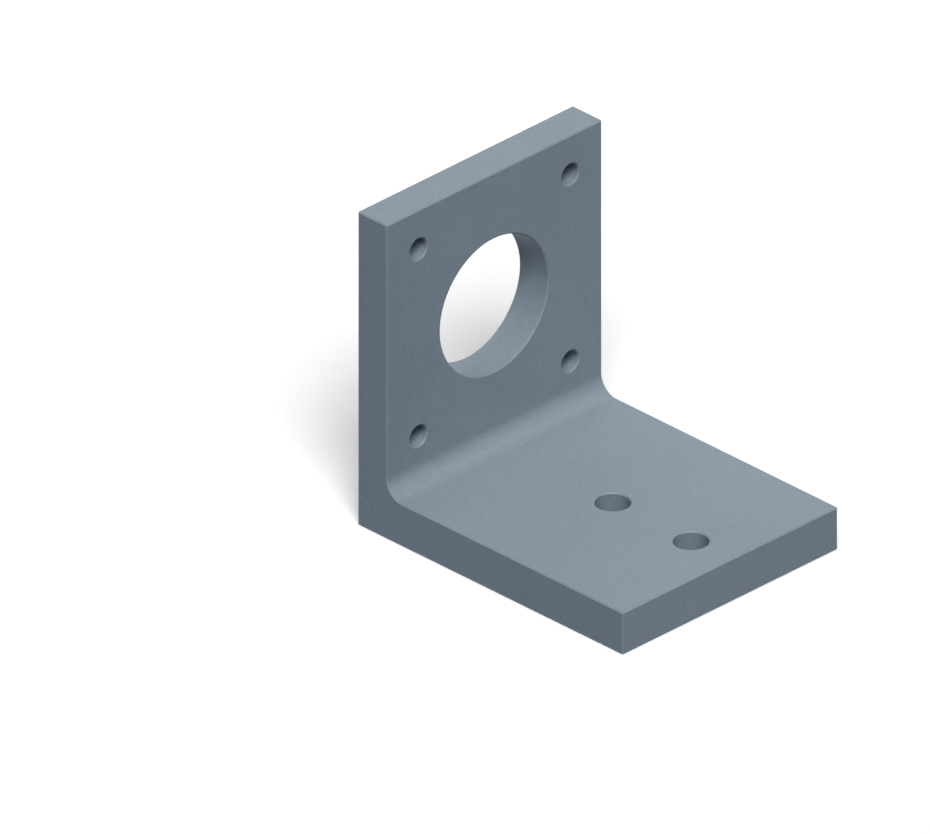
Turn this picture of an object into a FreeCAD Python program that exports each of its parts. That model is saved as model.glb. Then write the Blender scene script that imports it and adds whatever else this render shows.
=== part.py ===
# L-shaped mounting bracket, machined from one block of aluminium.
# A square upright carries a round pilot bore with four screw holes around it, and stands on a foot
# with two screw holes on its centre line. One radius fills the inner corner.
#
# Millimetres. The origin is midway between the two foot holes, on the underside.
# +X points to the foot's free end, Y runs across the bracket and is its mirror direction, +Z is up.
import FreeCAD, Part
import math
import os

import Sketcher

# Driving dimensions, each one set by itself
SIZES = {
    # thickness of the upright, along X
    "upright_thickness": 6.0,
    # thickness of the foot, along Z
    "foot_thickness": 7.0,
    # radius in the inner corner, between the upright and the foot
    "inner_radius": 3.0,
    # side of the square on which the upright's four screws sit
    "screw_square": 31.0,
    # from the screws' centres out to the upright's sides and top
    "screw_edge": 6.5,
    # from the top of the inner radius up to the lower screws' centres, which leaves room for their heads
    "screw_head_room": 4.5,
    # holes for M3 screws in the upright
    "screw_hole_diameter": 3.4,
    # pilot bore in the middle of the screw square
    "bore_diameter": 22.0,
    # from the upright's inner face to the nearer foot hole
    "foot_hole_reach": 24.1,
    # between the two foot holes
    "foot_hole_spacing": 16.0,
    # from the farther foot hole to the foot's free end
    "foot_hole_edge": 8.1,
    # holes for M5 screws in the foot
    "foot_hole_diameter": 5.3,
    # flat that breaks every sharp edge
    "edge_break": 0.2,
}

# Lengths that follow from the driving dimensions
WIDTH = "sizes.screw_square + 2 * sizes.screw_edge"
LOWER_SCREWS = "sizes.foot_thickness + sizes.inner_radius + sizes.screw_head_room"
BORE_HEIGHT = f"{LOWER_SCREWS} + sizes.screw_square / 2"
UPRIGHT_TOP = f"{LOWER_SCREWS} + sizes.screw_square + sizes.screw_edge"
INNER_FACE = "sizes.foot_hole_spacing / 2 + sizes.foot_hole_reach"
BACK_FACE = f"{INNER_FACE} + sizes.upright_thickness"
FREE_END = "sizes.foot_hole_spacing / 2 + sizes.foot_hole_edge"

# How a sketch refers to its own origin
ORIGIN = (-1, 1)

UPWARDS = FreeCAD.Vector(0, 0, 1)
# Two faces meet in a sharp edge when their normals differ by more than this angle
SHARP_ANGLE = math.radians(20)
# Points closer than this are the same
SAME_POINT = 0.001
# A cut may differ from the volume of its plain cylinders by this share
SAME_VOLUME = 0.001


def make_sheet(document):
    sheet = document.addObject("Spreadsheet::Sheet", "sizes")
    for row, (name, value) in enumerate(SIZES.items(), start=1):
        sheet.set(f"A{row}", name)
        sheet.set(f"B{row}", str(value))
        sheet.setAlias(f"B{row}", name)
    document.recompute()


def make_sketch(body, name, role, offset=None):
    """A sketch on one of the body's origin planes, or off it along the plane's normal by an expression."""
    sketch = body.newObject("Sketcher::SketchObject", name)
    plane = next(plane for plane in body.Origin.OriginFeatures if plane.Role == role)
    sketch.AttachmentSupport = [(plane, "")]
    sketch.MapMode = "FlatFace"
    if offset:
        sketch.setExpression(".AttachmentOffset.Base.z", offset)
    return sketch


def start_of(line):
    return line, 1


def end_of(line):
    return line, 2


def centre_of(circle):
    return circle, 3


def hold_on_axis(sketch, point, axis):
    """Keeps the point on the sketch's own x or y axis."""
    line = {"x": -1, "y": -2}[axis]
    sketch.addConstraint(Sketcher.Constraint("PointOnObject", *point, line))


def bind(sketch, name, expression, kind, *points):
    """A named dimension of the sketch that follows the sheet."""
    value = sketch.evalExpression(expression)
    index = sketch.addConstraint(Sketcher.Constraint(kind, *points, value))
    sketch.renameConstraint(index, name)
    sketch.setExpression(f"Constraints.{name}", expression)


def add_loop(sketch, corners, construction=False):
    """A closed loop of straight lines through the corners, each one level or upright in the sketch."""
    lines = []
    for (start_x, start_y), (end_x, end_y) in zip(corners, corners[1:] + corners[:1]):
        start = FreeCAD.Vector(start_x, start_y, 0)
        end = FreeCAD.Vector(end_x, end_y, 0)
        line = sketch.addGeometry(Part.LineSegment(start, end), construction)
        direction = "Horizontal" if start_y == end_y else "Vertical"
        sketch.addConstraint(Sketcher.Constraint(direction, line))
        lines.append(line)
    for line, following in zip(lines, lines[1:] + lines[:1]):
        sketch.addConstraint(Sketcher.Constraint("Coincident", *end_of(line), *start_of(following)))
    return lines


def add_circle(sketch, name, diameter, x, y):
    """A circle of a bound diameter, whose centre is still to be held."""
    radius = sketch.evalExpression(diameter) / 2
    circle = sketch.addGeometry(Part.Circle(FreeCAD.Vector(x, y, 0), UPWARDS, radius), False)
    bind(sketch, name, diameter, "Diameter", circle)
    return circle


def make_profile(body):
    """The L of the upright and the foot, seen along Y."""
    sketch = make_sketch(body, "profile", "XZ_Plane")
    foot = sketch.evalExpression("sizes.foot_thickness")
    top = sketch.evalExpression(UPRIGHT_TOP)
    back = -sketch.evalExpression(BACK_FACE)
    inner = -sketch.evalExpression(INNER_FACE)
    end = sketch.evalExpression(FREE_END)
    corners = [(back, 0), (end, 0), (end, foot), (inner, foot), (inner, top), (back, top)]
    underside, free_end, _, _, top_edge, back_face = add_loop(sketch, corners)
    foot_ends = (*start_of(free_end), *end_of(free_end))
    upright_sides = (*end_of(top_edge), *start_of(top_edge))
    back_ends = (*end_of(back_face), *start_of(back_face))
    hold_on_axis(sketch, start_of(underside), "x")
    bind(sketch, "back", BACK_FACE, "DistanceX", *start_of(underside), *ORIGIN)
    bind(sketch, "end", FREE_END, "DistanceX", *ORIGIN, *end_of(underside))
    bind(sketch, "foot", "sizes.foot_thickness", "DistanceY", *foot_ends)
    bind(sketch, "upright", "sizes.upright_thickness", "DistanceX", *upright_sides)
    bind(sketch, "top", UPRIGHT_TOP, "DistanceY", *back_ends)
    return sketch


def make_block(body, profile):
    """The profile drawn out to the bracket's width, half to each side."""
    block = body.newObject("PartDesign::Pad", "block")
    block.Profile = profile
    block.SideType = "Symmetric"
    block.setExpression("Length", WIDTH)
    body.Document.recompute()
    return block


def make_inner_corner(body, block):
    """The radius along the edge where the foot's top meets the upright's inner face."""
    x = -body.evalExpression(INNER_FACE)
    z = body.evalExpression("sizes.foot_thickness")
    corner = Part.Vertex(x, 0, z)
    edges = [
        f"Edge{index}"
        for index, edge in enumerate(block.Shape.Edges, start=1)
        if edge.distToShape(corner)[0] < SAME_POINT
    ]
    inner_corner = body.newObject("PartDesign::Fillet", "inner_corner")
    inner_corner.Base = (block, edges)
    inner_corner.setExpression("Radius", "sizes.inner_radius")
    body.Document.recompute()
    return inner_corner


def make_pilot_bore(body):
    """One round opening through the upright, cut from its inner face towards its back."""
    sketch = make_sketch(body, "bore_circle", "YZ_Plane", f"-({INNER_FACE})")
    height = sketch.evalExpression(BORE_HEIGHT)
    circle = add_circle(sketch, "bore", "sizes.bore_diameter", 0, height)
    hold_on_axis(sketch, centre_of(circle), "y")
    bind(sketch, "height", BORE_HEIGHT, "DistanceY", *ORIGIN, *centre_of(circle))
    bore = body.newObject("PartDesign::Pocket", "pilot_bore")
    bore.Profile = sketch
    bore.Type = "ThroughAll"
    body.Document.recompute()
    return bore


def drill(body, sketch, name, diameter):
    """Plain holes at the sketch's circles, right through the plate under them."""
    body.Document.recompute()
    hole = body.newObject("PartDesign::Hole", name)
    hole.Profile = sketch
    hole.ThreadType = "None"
    hole.HoleCutType = "None"
    hole.DepthType = "ThroughAll"
    hole.DrillPoint = "Flat"
    hole.setExpression("Diameter", diameter)
    body.Document.recompute()
    return hole


def make_upright_holes(body):
    """Four holes at the corners of a square that is centred on the pilot bore."""
    diameter = "sizes.screw_hole_diameter"
    sketch = make_sketch(body, "screw_square", "YZ_Plane", f"-({INNER_FACE})")
    half = sketch.evalExpression("sizes.screw_square") / 2
    low = sketch.evalExpression(LOWER_SCREWS)
    high = low + 2 * half
    corners = [(-half, low), (half, low), (half, high), (-half, high)]
    square = add_loop(sketch, corners, construction=True)
    lower, right, _, _ = square
    bind(sketch, "half", "sizes.screw_square / 2", "DistanceX", *ORIGIN, *end_of(lower))
    bind(sketch, "low", LOWER_SCREWS, "DistanceY", *ORIGIN, *end_of(lower))
    bind(sketch, "across", "sizes.screw_square", "DistanceX", *start_of(lower), *end_of(lower))
    bind(sketch, "upwards", "sizes.screw_square", "DistanceY", *start_of(right), *end_of(right))
    for number, (line, (x, y)) in enumerate(zip(square, corners), start=1):
        circle = add_circle(sketch, f"hole_{number}", diameter, x, y)
        sketch.addConstraint(Sketcher.Constraint("Coincident", *centre_of(circle), *start_of(line)))
    return drill(body, sketch, "upright_holes", diameter)


def make_foot_holes(body):
    """Two holes on the foot's centre line, the same distance each side of the origin."""
    diameter = "sizes.foot_hole_diameter"
    sketch = make_sketch(body, "foot_pair", "XY_Plane", "sizes.foot_thickness")
    side = sketch.evalExpression("sizes.foot_hole_spacing") / 2
    near = add_circle(sketch, "near_hole", diameter, -side, 0)
    far = add_circle(sketch, "far_hole", diameter, side, 0)
    pair = (*centre_of(near), *centre_of(far))
    hold_on_axis(sketch, centre_of(near), "x")
    sketch.addConstraint(Sketcher.Constraint("Symmetric", *pair, *ORIGIN))
    bind(sketch, "spacing", "sizes.foot_hole_spacing", "DistanceX", *pair)
    return drill(body, sketch, "foot_holes", diameter)


def is_sharp(shape, edge):
    """True where two faces meet at an angle: not along a seam, nor where the inner radius runs out."""
    faces = shape.ancestorsOfType(edge, Part.Face)
    if len(faces) != 2:
        return False
    middle = edge.valueAt((edge.FirstParameter + edge.LastParameter) / 2)
    normals = [face.normalAt(*face.Surface.parameter(middle)) for face in faces]
    return normals[0].getAngle(normals[1]) > SHARP_ANGLE


def make_edge_breaks(body, base):
    """A small flat along every sharp edge, the holes' rims among them."""
    edges = [
        f"Edge{index}"
        for index, edge in enumerate(base.Shape.Edges, start=1)
        if is_sharp(base.Shape, edge)
    ]
    breaks = body.newObject("PartDesign::Chamfer", "edge_breaks")
    breaks.Base = (base, edges)
    breaks.setExpression("Size", "sizes.edge_break")
    return breaks


def check_cut(body, before, after, diameter, length, count):
    """Stops unless the cut took the volume of its plain cylinders out of the solid."""
    radius = body.evalExpression(diameter) / 2
    expected = count * math.pi * radius**2 * body.evalExpression(length)
    removed = before.Shape.Volume - after.Shape.Volume
    if abs(removed - expected) > SAME_VOLUME * expected:
        raise RuntimeError(f"{after.Label} took out {removed:.1f} mm3 in place of {expected:.1f} mm3")


def make_bracket(document):
    body = document.addObject("PartDesign::Body", "bracket")
    body.Label = "bracket"
    body.Placement = FreeCAD.Placement()
    block = make_block(body, make_profile(body))
    inner_corner = make_inner_corner(body, block)
    bore = make_pilot_bore(body)
    upright_holes = make_upright_holes(body)
    foot_holes = make_foot_holes(body)
    body.Tip = make_edge_breaks(body, foot_holes)
    document.recompute()
    check_cut(body, inner_corner, bore, "sizes.bore_diameter", "sizes.upright_thickness", 1)
    check_cut(body, bore, upright_holes, "sizes.screw_hole_diameter", "sizes.upright_thickness", 4)
    check_cut(body, upright_holes, foot_holes, "sizes.foot_hole_diameter", "sizes.foot_thickness", 2)
    return body


def check_document(document, body):
    """Stops if any object failed, or if the body isn't one sound solid."""
    for item in document.Objects:
        if "Invalid" in item.State or "Error" in item.State:
            raise RuntimeError(f"{item.Label} failed: {item.State}")
    if body.Shape.isNull() or not body.Shape.isValid() or len(body.Shape.Solids) != 1:
        raise RuntimeError(f"{body.Label} isn't one valid solid")


document = FreeCAD.newDocument("bracket")
make_sheet(document)
bracket = make_bracket(document)
check_document(document, bracket)
os.makedirs("parts", exist_ok=True)
bracket.Shape.exportStep(f"parts/{bracket.Label}.step")
print(f"{bracket.Label}: {bracket.Shape.Volume:.1f} mm3, {bracket.Shape.BoundBox}")
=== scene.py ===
"""Looks of the mounting bracket: bead-blasted, anodised aluminium on a white studio floor.

Metres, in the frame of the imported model: +X towards the foot's free end, +Z up, and the origin midway
between the foot's two holes, on the underside.
"""
import math

import bpy
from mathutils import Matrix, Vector

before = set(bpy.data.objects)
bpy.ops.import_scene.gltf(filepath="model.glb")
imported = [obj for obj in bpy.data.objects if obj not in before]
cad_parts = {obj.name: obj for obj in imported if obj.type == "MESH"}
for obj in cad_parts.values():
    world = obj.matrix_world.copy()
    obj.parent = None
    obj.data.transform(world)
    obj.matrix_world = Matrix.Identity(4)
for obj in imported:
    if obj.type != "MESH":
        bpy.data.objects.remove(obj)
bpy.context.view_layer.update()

MM = 0.001

# The photograph: a parallel view, so one scale holds over the whole picture
PICTURE_WIDTH = 930
PICTURE_HEIGHT = 833
VIEW_AZIMUTH = math.radians(45)
VIEW_ELEVATION = math.radians(29.5)
PIXELS_PER_MM = 6.92
# Pixel at which the frame's origin lies in the picture
ORIGIN_PIXEL = (651.1, 562.8)
CAMERA_DISTANCE = 400 * MM
NEAREST_SEEN = 1 * MM
FARTHEST_SEEN = 10

# Anodised surface: its colour, linear, and how little of the metal shines through the dyed layer
BLUE_GREY = (0.25, 0.306, 0.356)
METALLIC = 0.06
SPECULAR = 0.2
# The dimples that the blasting beads leave
DIMPLE_SIZE = 0.13 * MM
DIMPLE_DEPTH = 0.016 * MM
# Each dimple has a roughness in this range and a shade in the next, as factors of the colour
DIMPLE_ROUGHNESS = (0.46, 0.62)
DIMPLE_SHADES = (0.92, 1.08)
MOTTLE_SIZE = 0.9 * MM
MOTTLE_DETAIL = 2
MOTTLE_SHADES = (0.97, 1.03)
CLOUD_SIZE = 14 * MM
CLOUD_DETAIL = 3
CLOUD_SHADES = (0.975, 1.025)
# A dimple's chance value runs over the first range, and nearly all of a noise over the second
FULL_RANGE = (0, 1)
NOISE_RANGE = (0.3, 0.7)

WHITE = (1, 1, 1, 1)
FLOOR_SIZE = 4
# The floor lies this far under the part, so that the two faces never share a place
FLOOR_GAP = 0.02 * MM
# Added to the floor's own shade, to bring it up to the background's where no shadow falls
FLOOR_LIFT = 0.1
BACKGROUND = 1.0

# Even light from all sides. It is blue, and the lamp above warm, so that the upright faces come out
# a little bluer than the level ones, as in the picture
WORLD_LIGHT = 0.05
WORLD_COLOUR = (0.6, 0.9, 1.6)
NEUTRAL = (1.0, 1.0, 1.0)
WARM = (1.0, 0.88, 0.61)
COOL = (0.85, 0.94, 1.0)
# How wide each lamp looks from the part
LAMP_WIDTH = math.radians(26)
# Name, azimuth and elevation in degrees, light, colour
LAMPS = (
    ("key", 52.5, 54, 0.855, NEUTRAL),
    ("top", 0, 90, 0.165, WARM),
    ("side_fill", 190, 8, 0.35, COOL),
    ("back_fill", 262, 6, 0.35, COOL),
)


def link(tree, start, end):
    tree.links.new(start, end)


def add_node(tree, kind, **values):
    """A node with some of its input sockets and own settings filled in."""
    node = tree.nodes.new(kind)
    for name, value in values.items():
        if name in node.inputs:
            node.inputs[name].default_value = value
        else:
            setattr(node, name, value)
    return node


def new_material(name):
    material = bpy.data.materials.new(name)
    material.use_nodes = True
    material.node_tree.nodes.clear()
    return material


def noise(tree, place, size, detail):
    """Noise whose spots are about this size, in metres."""
    node = add_node(tree, "ShaderNodeTexNoise", Scale=1 / size, Detail=detail)
    link(tree, place, node.inputs["Vector"])
    return node.outputs["Fac"]


def spread(tree, value, old, new):
    """Stretches a value that runs over the old range, to run over the new one."""
    node = tree.nodes.new("ShaderNodeMapRange")
    limits = ("From Min", "From Max", "To Min", "To Max")
    for limit, number in zip(limits, (*old, *new)):
        node.inputs[limit].default_value = number
    link(tree, value, node.inputs["Value"])
    return node.outputs["Result"]


def combine(tree, operation, values):
    """The values joined by one operation, such as MULTIPLY or MAXIMUM."""
    result = values[0]
    for value in values[1:]:
        node = add_node(tree, "ShaderNodeMath", operation=operation)
        link(tree, result, node.inputs[0])
        link(tree, value, node.inputs[1])
        result = node.outputs[0]
    return result


def blasted_dimples(tree, place):
    """Overlapping round dimples: how high each point lies, and a chance value for each dimple."""
    cells = add_node(tree, "ShaderNodeTexVoronoi", Scale=1 / DIMPLE_SIZE)
    link(tree, place, cells.inputs["Vector"])
    distance = cells.outputs["Distance"]
    chance = tree.nodes.new("ShaderNodeSeparateColor")
    link(tree, cells.outputs["Color"], chance.inputs["Color"])
    return combine(tree, "MULTIPLY", [distance, distance]), chance.outputs[0]


def anodised_material():
    """Matte anodising over a bead-blasted surface: fine dimples, and faint clouds in the colour."""
    material = new_material("anodised_aluminium")
    tree = material.node_tree
    place = tree.nodes.new("ShaderNodeTexCoord").outputs["Object"]
    height, chance = blasted_dimples(tree, place)
    mottle = noise(tree, place, MOTTLE_SIZE, MOTTLE_DETAIL)
    clouds = noise(tree, place, CLOUD_SIZE, CLOUD_DETAIL)

    shades = [
        spread(tree, chance, FULL_RANGE, DIMPLE_SHADES),
        spread(tree, mottle, NOISE_RANGE, MOTTLE_SHADES),
        spread(tree, clouds, NOISE_RANGE, CLOUD_SHADES),
    ]
    colour = add_node(tree, "ShaderNodeVectorMath", operation="SCALE")
    colour.inputs[0].default_value = BLUE_GREY
    link(tree, combine(tree, "MULTIPLY", shades), colour.inputs["Scale"])

    bump = add_node(tree, "ShaderNodeBump", Distance=DIMPLE_DEPTH)
    link(tree, height, bump.inputs["Height"])

    shader = add_node(tree, "ShaderNodeBsdfPrincipled", Metallic=METALLIC)
    shader.inputs["Specular IOR Level"].default_value = SPECULAR
    link(tree, colour.outputs[0], shader.inputs["Base Color"])
    link(tree, spread(tree, chance, FULL_RANGE, DIMPLE_ROUGHNESS), shader.inputs["Roughness"])
    link(tree, bump.outputs["Normal"], shader.inputs["Normal"])
    output = tree.nodes.new("ShaderNodeOutputMaterial")
    link(tree, shader.outputs[0], output.inputs["Surface"])
    return material


def floor_material():
    """White, and see-through from below."""
    material = new_material("studio_floor")
    tree = material.node_tree
    white = add_node(tree, "ShaderNodeBsdfDiffuse", Color=WHITE)
    lift = add_node(tree, "ShaderNodeEmission", Color=WHITE, Strength=FLOOR_LIFT)
    bright = tree.nodes.new("ShaderNodeAddShader")
    link(tree, white.outputs[0], bright.inputs[0])
    link(tree, lift.outputs[0], bright.inputs[1])
    geometry = tree.nodes.new("ShaderNodeNewGeometry")
    clear = tree.nodes.new("ShaderNodeBsdfTransparent")
    surface = tree.nodes.new("ShaderNodeMixShader")
    link(tree, geometry.outputs["Backfacing"], surface.inputs["Fac"])
    link(tree, bright.outputs[0], surface.inputs[1])
    link(tree, clear.outputs[0], surface.inputs[2])
    output = tree.nodes.new("ShaderNodeOutputMaterial")
    link(tree, surface.outputs[0], output.inputs["Surface"])
    return material


def make_floor():
    """A floor that only the camera sees. In its place, the world's even light reaches the part."""
    half = FLOOR_SIZE / 2
    corners = [(-half, -half, 0), (half, -half, 0), (half, half, 0), (-half, half, 0)]
    mesh = bpy.data.meshes.new("floor")
    mesh.from_pydata(corners, [], [(0, 1, 2, 3)])
    mesh.materials.append(floor_material())
    floor = bpy.data.objects.new("floor", mesh)
    floor.location.z = -FLOOR_GAP
    floor.visible_diffuse = False
    floor.visible_glossy = False
    bpy.context.scene.collection.objects.link(floor)


def make_world():
    """Even light from all sides, and a white background to the eye, in reflections and through glass."""
    world = bpy.data.worlds.new("studio")
    world.use_nodes = True
    tree = world.node_tree
    tree.nodes.clear()
    path = tree.nodes.new("ShaderNodeLightPath")
    rays = ("Is Camera Ray", "Is Glossy Ray", "Is Transmission Ray")
    seen = combine(tree, "MAXIMUM", [path.outputs[ray] for ray in rays])
    light = add_node(tree, "ShaderNodeBackground", Color=(*WORLD_COLOUR, 1), Strength=WORLD_LIGHT)
    white = add_node(tree, "ShaderNodeBackground", Color=WHITE, Strength=BACKGROUND)
    mixed = tree.nodes.new("ShaderNodeMixShader")
    link(tree, seen, mixed.inputs["Fac"])
    link(tree, light.outputs[0], mixed.inputs[1])
    link(tree, white.outputs[0], mixed.inputs[2])
    output = tree.nodes.new("ShaderNodeOutputWorld")
    link(tree, mixed.outputs[0], output.inputs["Surface"])
    bpy.context.scene.world = world


def point_at(item, place, target):
    """Puts a lamp or camera in its place, aimed at the target."""
    item.location = place
    item.rotation_mode = "QUATERNION"
    item.rotation_quaternion = (Vector(target) - Vector(place)).to_track_quat("-Z", "Y")


def direction(azimuth, elevation):
    """Unit vector towards a place seen from the origin. Azimuth 0 is -Y and 90 degrees is +X."""
    return Vector(
        (
            math.sin(azimuth) * math.cos(elevation),
            -math.cos(azimuth) * math.cos(elevation),
            math.sin(elevation),
        )
    )


def make_lamp(name, azimuth, elevation, light, colour):
    """A large soft lamp far away. A surface that faces a light of 1 shows its colour as written."""
    lamp = bpy.data.lights.new(name, "SUN")
    lamp.angle = LAMP_WIDTH
    lamp.color = colour
    lamp.energy = light * math.pi
    item = bpy.data.objects.new(name, lamp)
    bpy.context.scene.collection.objects.link(item)
    point_at(item, direction(math.radians(azimuth), math.radians(elevation)), (0, 0, 0))


def make_camera():
    """A parallel camera that lays the frame's origin on its pixel of the picture."""
    camera = bpy.data.cameras.new("camera")
    camera.type = "ORTHO"
    camera.ortho_scale = PICTURE_WIDTH / PIXELS_PER_MM * MM
    camera.clip_start = NEAREST_SEEN
    camera.clip_end = FARTHEST_SEEN
    back = direction(VIEW_AZIMUTH, VIEW_ELEVATION)
    right = Vector((math.cos(VIEW_AZIMUTH), math.sin(VIEW_AZIMUTH), 0))
    up = back.cross(right)
    middle = ((PICTURE_WIDTH - 1) / 2, (PICTURE_HEIGHT - 1) / 2)
    sideways = (middle[0] - ORIGIN_PIXEL[0]) / PIXELS_PER_MM * MM
    upwards = (ORIGIN_PIXEL[1] - middle[1]) / PIXELS_PER_MM * MM
    target = right * sideways + up * upwards
    item = bpy.data.objects.new("camera", camera)
    bpy.context.scene.collection.objects.link(item)
    point_at(item, target + back * CAMERA_DISTANCE, target)
    bpy.context.scene.camera = item


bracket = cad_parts["bracket"]
bracket.material_slots[0].material = anodised_material()

make_floor()
make_world()
for lamp in LAMPS:
    make_lamp(*lamp)
make_camera()
bpy.context.scene.view_settings.view_transform = "Standard"
